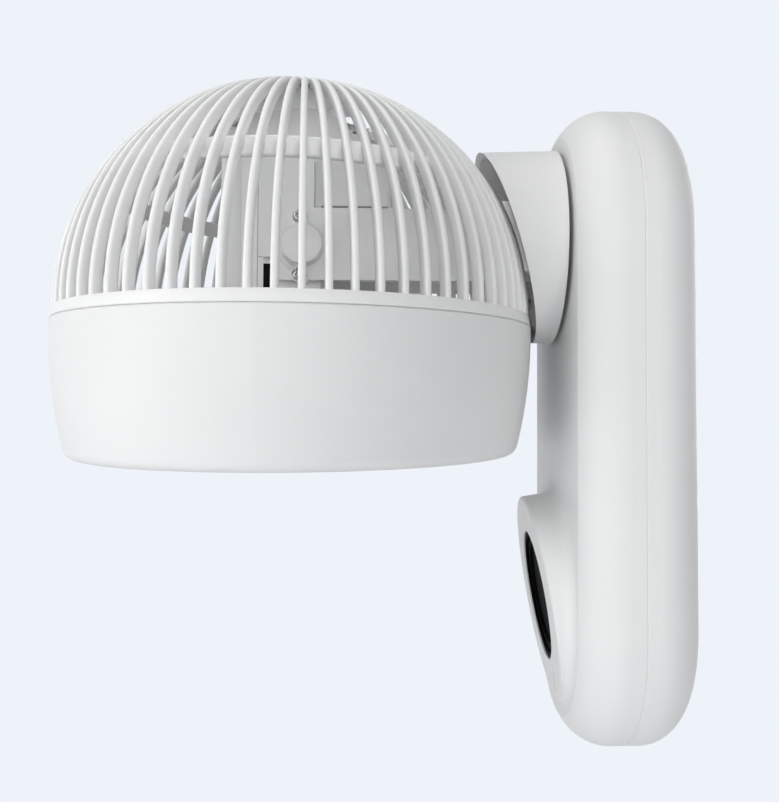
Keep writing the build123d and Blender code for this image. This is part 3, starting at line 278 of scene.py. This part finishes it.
slotFinish = {
    "white_shell": "whiteShell", "white_rib": "whiteRib", "inner_grey": "innerGrey",
    "black_gloss": "blackGloss", "gear_white": "gearWhite", "dark_plastic": "darkPlastic",
    "motor_metal": "motorMetal", "shaft_steel": "shaftSteel", "screw_steel": "screwSteel",
    "plate_steel": "plateSteel", "board_green": "boardGreen",
}
nodeSlot = {part["node"]: part["material_slot"] for part in frame["record"]["subparts"]}
for nodeName, node in frame["nodes"].items():
    for slot in node.material_slots:
        slot.material = finishes[slotFinish[nodeSlot[nodeName]]]
print("finishes assigned")


# small helpers for modelling by hand
def startPiece(name):
    piece = bpy.context.object
    piece.name = name
    piece.data.name = name
    bpy.ops.object.mode_set(mode="EDIT")
    bpy.ops.mesh.select_all(action="SELECT")
    return piece


def pick(test, kind="FACE"):
    # selects the faces by middle and normal, or the edges by middle and direction
    bpy.ops.mesh.select_mode(type=kind)
    bpy.ops.mesh.select_all(action="DESELECT")
    body = bmesh.from_edit_mesh(bpy.context.object.data)
    if kind == "FACE":
        for face in body.faces:
            face.select_set(test(face.calc_center_median(), face.normal))
    else:
        for edge in body.edges:
            start, stop = [corner.co for corner in edge.verts]
            edge.select_set(test((start + stop) / 2, (stop - start).normalized()))
    body.select_flush_mode()
    bmesh.update_edit_mesh(bpy.context.object.data)


def roundEdges(offset, steps):
    bpy.ops.mesh.bevel(offset=offset, segments=steps, affect="EDGES")


def roundCorners(offset, steps):
    bpy.ops.mesh.bevel(offset=offset, segments=steps, affect="VERTICES")
    bpy.ops.mesh.select_all(action="SELECT")


def spinRound(steps, degrees, centre, axis):
    bpy.ops.mesh.spin(steps=steps, angle=math.radians(degrees), center=centre, axis=axis)


def endPiece(piece, smooth=35):
    # merges doubles, points faces outwards and leaves the object at the origin
    bpy.ops.mesh.select_mode(type="VERT")
    bpy.ops.mesh.select_all(action="SELECT")
    bpy.ops.mesh.remove_doubles(threshold=0.000004)
    bpy.ops.mesh.normals_make_consistent(inside=False)
    bpy.ops.object.mode_set(mode="OBJECT")
    bpy.ops.object.transform_apply(location=True, rotation=True, scale=True)
    bpy.ops.object.shade_smooth_by_angle(angle=math.radians(smooth))
    bpy.ops.object.select_all(action="DESELECT")
    return piece


def addPlane(name, place, size, turn=(0, 0, 0)):
    bpy.ops.object.select_all(action="DESELECT")
    bpy.ops.mesh.primitive_plane_add(size=1, location=place, rotation=turn)
    bpy.context.object.scale = (size[0], size[1], 1)
    bpy.ops.object.transform_apply(location=True, rotation=True, scale=True)
    return startPiece(name)


def addBlock(name, place, size, edge=0.0, steps=2):
    bpy.ops.object.select_all(action="DESELECT")
    bpy.ops.mesh.primitive_cube_add(size=1, location=place)
    bpy.context.object.scale = size
    bpy.ops.object.transform_apply(location=True, rotation=True, scale=True)
    piece = startPiece(name)
    if edge:
        roundEdges(edge, steps)
    return piece


def addDisc(name, place, radius, depth, turn=(0, 0, 0), sides=64):
    bpy.ops.object.select_all(action="DESELECT")
    bpy.ops.mesh.primitive_cylinder_add(
        vertices=sides, radius=radius, depth=depth, location=place, rotation=turn
    )
    bpy.ops.object.transform_apply(location=True, rotation=True, scale=True)
    return startPiece(name)


def turnAbout(point, axis, degrees):
    place = Matrix.Translation(Vector(point))
    return place @ Matrix.Rotation(math.radians(degrees), 4, axis) @ place.inverted()


def copyTurned(piece, name, turn):
    # a copy with its own mesh, put in place by a matrix
    made = piece.copy()
    made.data = piece.data.copy()
    made.name = name
    made.data.transform(turn)
    bpy.context.collection.objects.link(made)
    return made


def dropPiece(piece):
    bpy.data.objects.remove(piece, do_unlink=True)


def copiesRound(piece, centre, count, first=0.0):
    # the same piece again and again round an upright axis, in place of the one given
    made = []
    for number in range(count):
        turn = turnAbout(centre, "Z", first + number * 360 / count)
        made.append(copyTurned(piece, piece.name + str(number), turn))
    dropPiece(piece)
    return made


def joinPieces(name, pieces):
    bpy.ops.object.select_all(action="DESELECT")
    for piece in pieces:
        piece.select_set(True)
    bpy.context.view_layer.objects.active = pieces[0]
    bpy.ops.object.join()
    made = bpy.context.object
    made.name = name
    bpy.ops.object.select_all(action="DESELECT")
    return made


def applyModifier(piece, modifier):
    bpy.ops.object.select_all(action="DESELECT")
    piece.select_set(True)
    bpy.context.view_layer.objects.active = piece
    bpy.ops.object.modifier_apply(modifier=modifier.name)


def cutAway(piece, cutter):
    cut = piece.modifiers.new("cut", "BOOLEAN")
    cut.operation = "DIFFERENCE"
    cut.solver = "EXACT"
    cut.object = cutter
    applyModifier(piece, cut)
    piece.select_set(False)


def ringByProfile(name, corners, rounding, centre, steps=144, roundSteps=2):
    # drawn corner by corner with extrude, filled and rounded, then spun once round an upright axis
    radius, height = corners[0]
    piece = addPlane(name, (centre[0] + radius, centre[1], height), (0.001, 0.001))
    bpy.ops.mesh.merge(type="CENTER")
    for wide, tall in corners[1:]:
        move = (wide - radius, 0, tall - height)
        bpy.ops.mesh.extrude_region_move(TRANSFORM_OT_translate={"value": move})
        radius, height = wide, tall
    bpy.ops.mesh.select_all(action="SELECT")
    bpy.ops.mesh.edge_face_add()
    if rounding:
        roundCorners(rounding, roundSteps)
    bpy.ops.mesh.delete(type="ONLY_FACE")
    pick(lambda middle, along: abs(middle.x - centre[0]) < 1e-6 and abs(along.z) > 0.99, "EDGE")
    bpy.ops.mesh.delete(type="EDGE")
    bpy.ops.mesh.select_all(action="SELECT")
    spinRound(steps, 360, centre, (0, 0, 1))
    return endPiece(piece, 40)


def boxRing(name, outer, inner, low, high, edge, steps=144, roundSteps=2):
    corners = [(outer, low), (outer, high), (inner, high), (inner, low)]
    return ringByProfile(name, corners, edge, (0, headY, 0), steps, roundSteps)


def finishPiece(piece, body, slotName, finish, *nodes):
    piece.data.materials.clear()
    piece.data.materials.append(finishes[finish])
    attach(piece, body)
    if nodes:
        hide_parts(*nodes)


facingOut = (0, math.pi / 2, 0)
ringLow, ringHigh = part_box("front_ring")
headY = (ringLow[1] + ringHigh[1]) / 2
seamZ = ringHigh[2]

# rear guard; heights are above the seam with the front ring
guardLook = {
    "domeRadius": 0.1241,
    "domeLift": 0.007,
    "rimRadius": 0.125,
    "rimHeight": 0.0058,
    "rimLift": 0.0001,
    "rimChamfer": (0.0006, 0.0003),
    "rimRound": 0.0005,
    "ribs": 72,
    "firstRib": 3.2,
    "ribWidth": 0.0031,
    "ribDepth": 0.0056,
    "ribRound": 0.0012,
    "ribTop": 0.026,
    "ribFootDegrees": -1.5,
    "ribSteps": 26,
    "capRadius": 0.044,
    "capThick": 0.0028,
    "capDrop": 0.0006,
    "capSteps": 12,
    "skirtRadius": 0.04,
    "skirtThick": 0.003,
    "skirtLow": 0.1085,
    "skirtBite": 0.0045,
    "skirtRound": 0.0009,
    "notch": (0.037, 0.0150, 0.1085),
    "notchSize": (0.008, 0.0060, 0.0040),
    "hoopLift": 0.0652,
    "hoopHeight": 0.0090,
    "hoopRadius": 0.1006,
    "hoopThick": 0.0044,
    "hoopRound": 0.0014,
    "slotHalf": 0.028,
    "slotRail": 0.004,
    "slotFoot": 0.0211,
    "slotOver": -0.0185,
    "slotReach": 0.16,
    "railShy": 0.0006,
    "railRound": 0.001,
    "railTopDegrees": 80,
    "railSteps": 26,
    "barSink": 0.0009,
    "barRound": 0.0009,
    "lipShy": 0.0001,
    "lipSteps": 20,
    "lugs": 6,
    "firstLug": 30,
    "lugDrop": 0.0002,
    "lugCircle": 0.117,
    "lugRadius": 0.005,
    "lugRound": 0.0008,
}


def makeRibs(look, centre, outer, inner):
    # one rib: its rounded section stands on the rim and is spun up over the dome
    foot = look["ribFootDegrees"]
    reach = math.degrees(math.acos(look["ribTop"] / outer)) - foot
    rib = addPlane("rib", ((outer + inner) / 2, headY, centre[2]), (look["ribDepth"], look["ribWidth"]))
    roundCorners(look["ribRound"], 3)
    spinRound(look["ribSteps"], reach, centre, (0, 1, 0))
    endPiece(rib, 50)
    rib.data.transform(turnAbout(centre, "Y", -foot))
    return copiesRound(rib, centre, look["ribs"], look["firstRib"])


def makeRim(look, inner):
    top, low = seamZ + look["rimHeight"], seamZ + look["rimLift"]
    across, up = look["rimChamfer"]
    corners = [
        (look["rimRadius"], low + up), (look["domeRadius"], top),
        (inner, top), (inner, low), (look["rimRadius"] - across, low),
    ]
    return ringByProfile("rim", corners, look["rimRound"], (0, headY, 0), steps=216)


def capDome(name, look):
    # the polar cap: a thick slice of the dome round its pole
    outer = look["domeRadius"] - look["capDrop"]
    inner = outer - look["capThick"]
    base = seamZ + look["domeLift"]
    full = math.asin(look["capRadius"] / outer)
    turns = [full * count / look["capSteps"] for count in range(look["capSteps"] + 1)]
    above = [(outer * math.sin(turn), base + outer * math.cos(turn)) for turn in turns]
    below = [(inner * math.sin(turn), base + inner * math.cos(turn)) for turn in reversed(turns)]
    return ringByProfile(name, above + below, 0, (0, headY, 0), steps=72)


def makeSkirt(look, inner):
    # the collar under the cap, with its small notch
    radius = look["skirtRadius"]
    low = seamZ + look["skirtLow"]
    high = seamZ + look["domeLift"] + math.sqrt(inner**2 - radius**2) + look["skirtBite"]
    skirt = boxRing("capSkirt", radius, radius - look["skirtThick"], low, high, look["skirtRound"], 96)
    x, y, z = look["notch"]
    notch = endPiece(addBlock("notch", (x, headY + y, seamZ + z), look["notchSize"]))
    cutAway(skirt, notch)
    dropPiece(notch)
    return skirt


def crossesSlot(rib, look):
    return any(
        abs(corner.co.x) < look["slotHalf"]
        and corner.co.y - headY > look["slotOver"]
        and corner.co.z > seamZ + look["slotFoot"]
        for corner in rib.data.vertices
    )


def cutSlot(look, pieces):
    # opens the way for the neck, from the back of the dome to just past its pole
    over, reach = look["slotOver"], look["slotReach"]
    place = (0, headY + (over + reach) / 2, seamZ + look["slotFoot"] + reach / 2)
    cutter = endPiece(addBlock("slotCutter", place, (2 * look["slotHalf"], reach - over, reach)))
    for piece in pieces:
        cutAway(piece, cutter)
    dropPiece(cutter)


def frameSlot(look, centre, outer):
    # a rail down each side of the slot, a bar at its foot and a lip past the pole
    wide, half = look["slotRail"], look["slotHalf"]
    depth = look["ribDepth"] - look["railShy"]
    railRadius = math.sqrt(outer**2 - (half + wide / 2) ** 2) - look["railShy"] / 2
    foot = math.degrees(math.asin((look["slotFoot"] - look["domeLift"] - wide) / railRadius))
    rails = []
    for side in (-1, 1):
        place = (side * (half + wide / 2), headY + railRadius - depth / 2, centre[2])
        rail = addPlane("rail", place, (wide, depth))
        roundCorners(look["railRound"], 3)
        spinRound(look["railSteps"], look["railTopDegrees"] - foot, centre, (-1, 0, 0))
        endPiece(rail, 50)
        rail.data.transform(turnAbout(centre, "X", foot))
        rails.append(rail)
    place = (0, headY + railRadius - depth / 2 - look["barSink"], seamZ + look["slotFoot"] - wide / 2)
    bar = endPiece(addBlock("slotBar", place, (2 * (half + wide), depth, wide), look["barRound"], 3), 40)
    lipY = look["slotOver"] - wide / 2
    lipRadius = math.sqrt(outer**2 - lipY**2) - look["lipShy"]
    lipTurn = math.degrees(math.asin((half + wide) / lipRadius))
    place = (0, headY + lipY, centre[2] + lipRadius - depth / 2)
    lip = addPlane("slotLip", place, (depth, wide), facingOut)
    roundCorners(look["railRound"], 3)
    spinRound(look["lipSteps"], 2 * lipTurn, centre, (0, 1, 0))
    endPiece(lip, 50)
    lip.data.transform(turnAbout(centre, "Y", lipTurn))
    return rails, bar, lip


def makeLugs(look):
    # round lugs inside the rim for the long screws
    tall = look["rimHeight"] - look["railShy"]
    place = (0, headY, seamZ + look["rimHeight"] / 2 - look["lugDrop"])
    lug = addDisc("lug", place, look["lugRadius"], tall, sides=32)
    pick(lambda middle, normal: normal.z > 0.9)
    roundEdges(look["lugRound"], 3)
    endPiece(lug, 40)
    lugs = []
    for number in range(look["lugs"]):
        turn = math.radians(look["firstLug"] + number * 360 / look["lugs"])
        move = Vector((math.cos(turn), math.sin(turn), 0)) * look["lugCircle"]
        lugs.append(copyTurned(lug, "lug" + str(number), Matrix.Translation(move)))
    dropPiece(lug)
    return lugs


def makeGuard(look):
    centre = (0, headY, seamZ + look["domeLift"])
    outer, inner = look["domeRadius"], look["domeRadius"] - look["ribDepth"]
    ribs = makeRibs(look, centre, outer, inner)
    low, radius = seamZ + look["hoopLift"], look["hoopRadius"]
    high = low + look["hoopHeight"]
    hoop = boxRing("hoop", radius, radius - look["hoopThick"], low, high, look["hoopRound"], roundSteps=3)
    rim = makeRim(look, inner)
    cap = capDome("polarCap", look)
    skirt = makeSkirt(look, inner)
    cutSlot(look, [rib for rib in ribs if crossesSlot(rib, look)] + [hoop, cap, skirt])
    rails, bar, lip = frameSlot(look, centre, outer)
    lugs = makeLugs(look)
    return joinPieces("rearGuard", ribs + rails + lugs + [hoop, rim, cap, skirt, bar, lip])


rearGuard = makeGuard(guardLook)
finishPiece(rearGuard, "head", "white_rib", "whiteRib", "rear_guard")
print("rear guard made:", len(rearGuard.data.polygons), "faces")

# tilt stepper on the cheek, its screws and its wire
tiltLook = {
    "axisY": -0.195,
    "axisZ": 0.092,
    "cheek": 0.026,
    "canRadius": 0.0105,
    "canHeight": 0.008,
    "canRound": 0.0009,
    "earShift": -0.0024,
    "earSpacing": 0.031,
    "earRadius": 0.0036,
    "earThick": 0.0012,
    "earLift": 0.0001,
    "linkLength": 0.007,
    "linkRound": 0.0002,
    "screwRadius": 0.0028,
    "screwHeight": 0.0019,
    "screwCrown": 0.55,
    "screwTurn": 20,
    "crossWidth": 0.0008,
    "crossReach": 1.25,
    "crossRound": 0.0001,
    "wireRadius": 0.0008,
    "wire": [
        (0.0275, -0.2065, 0.0868), (0.0285, -0.2052, 0.0842),
        (0.0285, -0.2020, 0.0812), (0.028, -0.1985, 0.0796),
    ],
}


def panScrew(name, place, look):
    # pan head with a cross recess, standing on a face square to X
    x, y, z = place
    radius, height = look["screwRadius"], look["screwHeight"]
    screw = addDisc(name, (x + height / 2, y, z), radius, height, facingOut, 40)
    pick(lambda middle, normal: normal.x > 0.9)
    roundEdges(height * look["screwCrown"], 5)
    endPiece(screw, 40)
    for turn in (look["screwTurn"], look["screwTurn"] + 90):
        size = (height, look["crossReach"] * radius, look["crossWidth"])
        slot = endPiece(addBlock("cross", (x + height, y, z), size, look["crossRound"], 1))
        slot.data.transform(turnAbout(place, "X", turn))
        cutAway(screw, slot)
        dropPiece(slot)
    return screw


def tubeThrough(name, points, radius):
    bpy.ops.object.select_all(action="DESELECT")
    bpy.ops.curve.primitive_bezier_curve_add(location=(0, 0, 0))
    made = bpy.context.object
    made.name = name
    line = made.data.splines[0]
    line.bezier_points.add(len(points) - len(line.bezier_points))
    for spot, place in zip(line.bezier_points, points):
        spot.co = place
        spot.handle_left_type = spot.handle_right_type = "AUTO"
    made.data.resolution_u = 12
    made.data.bevel_depth = radius
    made.data.bevel_resolution = 2
    made.data.use_fill_caps = True
    bpy.ops.object.convert(target="MESH")
    return endPiece(startPiece(name), 60)


def earPlaces(look):
    # the two screw ears, above and below the can
    y = look["axisY"] + look["earShift"]
    return [(level, y, look["axisZ"] + level * look["earSpacing"] / 2) for level in (-1, 1)]


def makeTiltStepper(look):
    face, thick = look["cheek"], look["earThick"]
    place = (face + look["canHeight"] / 2, look["axisY"], look["axisZ"])
    can = addDisc("can", place, look["canRadius"], look["canHeight"], facingOut, 72)
    pick(lambda middle, normal: normal.x > 0.9)
    roundEdges(look["canRound"], 4)
    parts = [endPiece(can, 40)]
    x = face + thick / 2 + look["earLift"]
    for level, y, z in earPlaces(look):
        parts.append(endPiece(addDisc("ear", (x, y, z), look["earRadius"], thick, facingOut, 40), 40))
        size = (thick, 2 * look["earRadius"], look["linkLength"])
        place = (x, y, z - level * look["linkLength"] / 2)
        parts.append(endPiece(addBlock("earLink", place, size, look["linkRound"], 2), 40))
    return joinPieces("tiltStepper", parts)


tiltStepper = makeTiltStepper(tiltLook)
finishPiece(tiltStepper, "collar", "inner_grey", "innerGrey", "tilt_stepper")
screwFace = tiltLook["cheek"] + tiltLook["earThick"]
tiltScrews = joinPieces(
    "tiltScrews", [panScrew("tiltScrew", (screwFace, y, z), tiltLook) for level, y, z in earPlaces(tiltLook)]
)
finishPiece(tiltScrews, "collar", "screw_steel", "screwSteel", "tilt_stepper_screws")
tiltWire = tubeThrough("tiltWire", tiltLook["wire"], tiltLook["wireRadius"])
finishPiece(tiltWire, "collar", "inner_grey", "whiteRib")
print("tilt stepper made")

# front grille: forty bars that sweep out from the hub
grilleLow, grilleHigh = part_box("front_grille")
grilleLook = {
    "outer": 0.1112,
    "rim": 0.005,
    "rimBite": 0.0015,
    "hub": 0.027,
    "hubBite": 0.001,
    "middle": 0.070,
    "middleWidth": 0.0032,
    "bars": 40,
    "barWidth": 0.0022,
    "sweep": 34.0,
    "edge": 0.0006,
    "barSteps": 18,
}


def sweptBar(look, middle, tall):
    # a straight bar drawn out step by step, then swept sideways point by point
    start, stop = look["hub"] - look["hubBite"], look["outer"] - look["rimBite"]
    bar = addPlane("bar", (start, 0, middle), (tall, look["barWidth"]), facingOut)
    roundCorners(look["edge"], 3)
    step = (stop - start) / look["barSteps"]
    for count in range(look["barSteps"]):
        bpy.ops.mesh.extrude_region_move(TRANSFORM_OT_translate={"value": (step, 0, 0)})
    endPiece(bar, 50)
    for corner in bar.data.vertices:
        share = (corner.co.x - start) / (stop - start)
        turn = math.radians(look["sweep"]) * share * share
        corner.co = Matrix.Rotation(turn, 3, "Z") @ corner.co
        corner.co.y += headY
    return bar


def makeGrille(look):
    low, high = grilleLow[2], grilleHigh[2]
    centre, edge = (0, headY, (low + high) / 2), look["edge"]
    bars = copiesRound(sweptBar(look, centre[2], high - low), centre, look["bars"])
    rim = boxRing("grilleRim", look["outer"], look["outer"] - look["rim"], low, high, edge)
    half = look["middleWidth"] / 2
    middle = boxRing("grilleMiddle", look["middle"] + half, look["middle"] - half, low, high, edge)
    hub = addDisc("grilleHub", centre, look["hub"], high - low, sides=96)
    bpy.ops.mesh.bevel(offset=edge, segments=3, affect="EDGES", clamp_overlap=True)
    endPiece(hub, 40)
    return joinPieces("frontGrille", bars + [rim, middle, hub])


frontGrille = makeGrille(grilleLook)
finishPiece(frontGrille, "head", "white_shell", "whiteShell", "front_grille")
print("front grille made")

# impeller: cambered blades on a cup
impellerLow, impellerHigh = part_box("impeller")
impellerLook = {
    "blades": 7,
    "root": 0.0395,
    "tip": 0.1135,
    "halfRise": 0.0128,
    "drop": 0.0012,
    "rootPitch": 52.5,
    "tipPitch": 62.0,
    "tipRounding": 0.16,
    "camber": 0.0035,
    "thick": 0.0022,
    "cup": 0.041,
    "cupWall": 0.0024,
    "cupRound": 0.004,
    "floorRise": 0.0045,
    "floorReach": 0.0055,
    "bore": 0.00405,
    "boss": 0.008,
    "bossTall": 0.015,
    "edge": 0.0007,
}


def bladePoint(look, share, along, middle):
    # share runs from root to tip, along from the leading to the trailing edge
    radius = look["root"] + share * (look["tip"] - look["root"])
    pitch = math.radians(look["rootPitch"] + share * (look["tipPitch"] - look["rootPitch"]))
    rise = look["halfRise"] * along * (1 - look["tipRounding"] * share**6)
    bow = look["camber"] * (1 - along**2)
    turn = (bow * math.cos(pitch) - math.tan(pitch) * rise) / radius
    place = (radius * math.cos(turn), headY + radius * math.sin(turn))
    return (*place, middle + rise + bow * math.sin(pitch))


def makeBlade(look, middle):
    # a grid wrapped round the hub and twisted point by point, then given its wall
    bpy.ops.object.select_all(action="DESELECT")
    bpy.ops.mesh.primitive_grid_add(x_subdivisions=16, y_subdivisions=14, size=2)
    blade = bpy.context.object
    for corner in blade.data.vertices:
        corner.co = bladePoint(look, (corner.co.x + 1) / 2, corner.co.y, middle)
    wall = blade.modifiers.new("wall", "SOLIDIFY")
    wall.thickness = look["thick"]
    wall.offset = 0
    applyModifier(blade, wall)
    return endPiece(startPiece("blade"), 40)


def makeImpeller(look):
    low, high = impellerLow[2], impellerHigh[2]
    blade = makeBlade(look, (low + high) / 2 - look["drop"])
    blades = copiesRound(blade, (0, headY, 0), look["blades"])
    cup, wall, slope, boss = look["cup"], look["cupWall"], look["cupRound"], look["boss"]
    corners = [
        (look["bore"], low), (cup - slope, low), (cup, low + slope), (cup, high), (cup - wall, high),
        (cup - wall, low + look["floorRise"]), (cup - look["floorReach"], low + wall),
        (boss, low + wall), (boss, low + look["bossTall"]), (look["bore"], low + look["bossTall"]),
    ]
    hub = ringByProfile("impellerHub", corners, look["edge"], (0, headY, 0), steps=96)
    return joinPieces("impellerPiece", blades + [hub])


impellerPiece = makeImpeller(impellerLook)
finishPiece(impellerPiece, "rotor", "white_shell", "whiteShell", "impeller")
print("impeller made")

# control boss: soft foot on the panel, and the small indicator window below the dial
bossLook = {
    "foot": (0, -0.0592, -0.09284),
    "radius": 0.0532,
    "bite": 0.0006,
    "sink": 0.0004,
    "lift": 0.00002,
    "lean": 8.8,
    "blend": 0.006,
    "blendSteps": 12,
    "faceCentre": (0, -0.0693, -0.0944),
    "window": (0.018, 0.00033, -0.0412),
    "windowSize": (0.0022, 0.0008, 0.0105),
    "windowRound": 0.00105,
}
bossLean = math.radians(bossLook["lean"])


def makeBossFoot(look):
    # a hollow fillet round the boss, lower where the leaning face comes near the panel
    inside, blend = look["radius"] - look["bite"], look["blend"]
    profile = [(inside, -look["sink"])]
    for count in range(look["blendSteps"] + 1):
        turn = math.radians(90 * count / look["blendSteps"])
        inward, down = blend * math.sin(turn), blend * math.cos(turn)
        profile.append((look["radius"] + blend - inward, look["lift"] + blend - down))
    profile.append((inside, blend))
    foot = ringByProfile("bossFoot", profile, 0, (0, 0, 0))
    x, y, z = look["foot"]
    slope = math.tan(bossLean)
    for corner in foot.data.vertices:
        across, up, out = corner.co
        depth = y - look["faceCentre"][1] + up * slope
        out *= min(1, (depth - look["sink"]) / blend)
        corner.co = (x + across, y - out, z + up / math.cos(bossLean) - out * slope)
    return foot


def makeWindow(look):
    window = addBlock("indicatorWindow", (0, 0, 0), look["windowSize"])
    pick(lambda middle, along: abs(along.y) > 0.9, "EDGE")
    roundEdges(look["windowRound"], 5)
    endPiece(window, 40)
    onFace = Matrix.Translation(Vector(look["faceCentre"])) @ Matrix.Rotation(bossLean, 4, "X")
    window.data.transform(onFace @ Matrix.Translation(Vector(look["window"])))
    return window


bossFoot = makeBossFoot(bossLook)
finishPiece(bossFoot, "wall_unit", "white_shell", "whiteShell")
indicatorWindow = makeWindow(bossLook)
finishPiece(indicatorWindow, "wall_unit", "inner_grey", "windowGrey")
print("control boss made")

# rounded cover in front of the tower, a near-black plate as painted shade where the wiring slot opens, and
# the seams on its side
towerLook = {
    "cover": (0.0, -0.0355, 0.0588),
    "coverSize": (0.0372, 0.0130, 0.0976),
    "coverRound": 0.0045,
    "face": 0.0194,
    "plateThick": 0.0003,
    "slot": (-0.2151, 0.0757, 0.0040, 0.0159),
    "seamSink": 0.00005,
    "seams": [(-0.2203, 0.1015, 0.00035, 0.060), (-0.2170, 0.0873, 0.0066, 0.00035)],
}


def makeCover(look):
    x, y, z = look["cover"]
    cover = addBlock("towerCover", (x, headY + y, seamZ + z), look["coverSize"], look["coverRound"], 4)
    return endPiece(cover, 40)


def facePlate(name, look, y, z, wide, tall, sink=0.0):
    return endPiece(addBlock(name, (look["face"] - sink, y, z), (look["plateThick"], wide, tall)))


towerCover = makeCover(towerLook)
finishPiece(towerCover, "head", "inner_grey", "innerGrey")
# slotShade: a near-black plate on the tower face, painted shade standing for the dark inside of the wiring
# slot
slotShade = facePlate("slotShade", towerLook, *towerLook["slot"])
finishPiece(slotShade, "head", "dark_plastic", "deepShade")
seams = [facePlate("seam", towerLook, *seam, towerLook["seamSink"]) for seam in towerLook["seams"]]
towerSeams = joinPieces("towerSeams", seams)
finishPiece(towerSeams, "head", "inner_grey", "seamGrey")
print("tower details made")
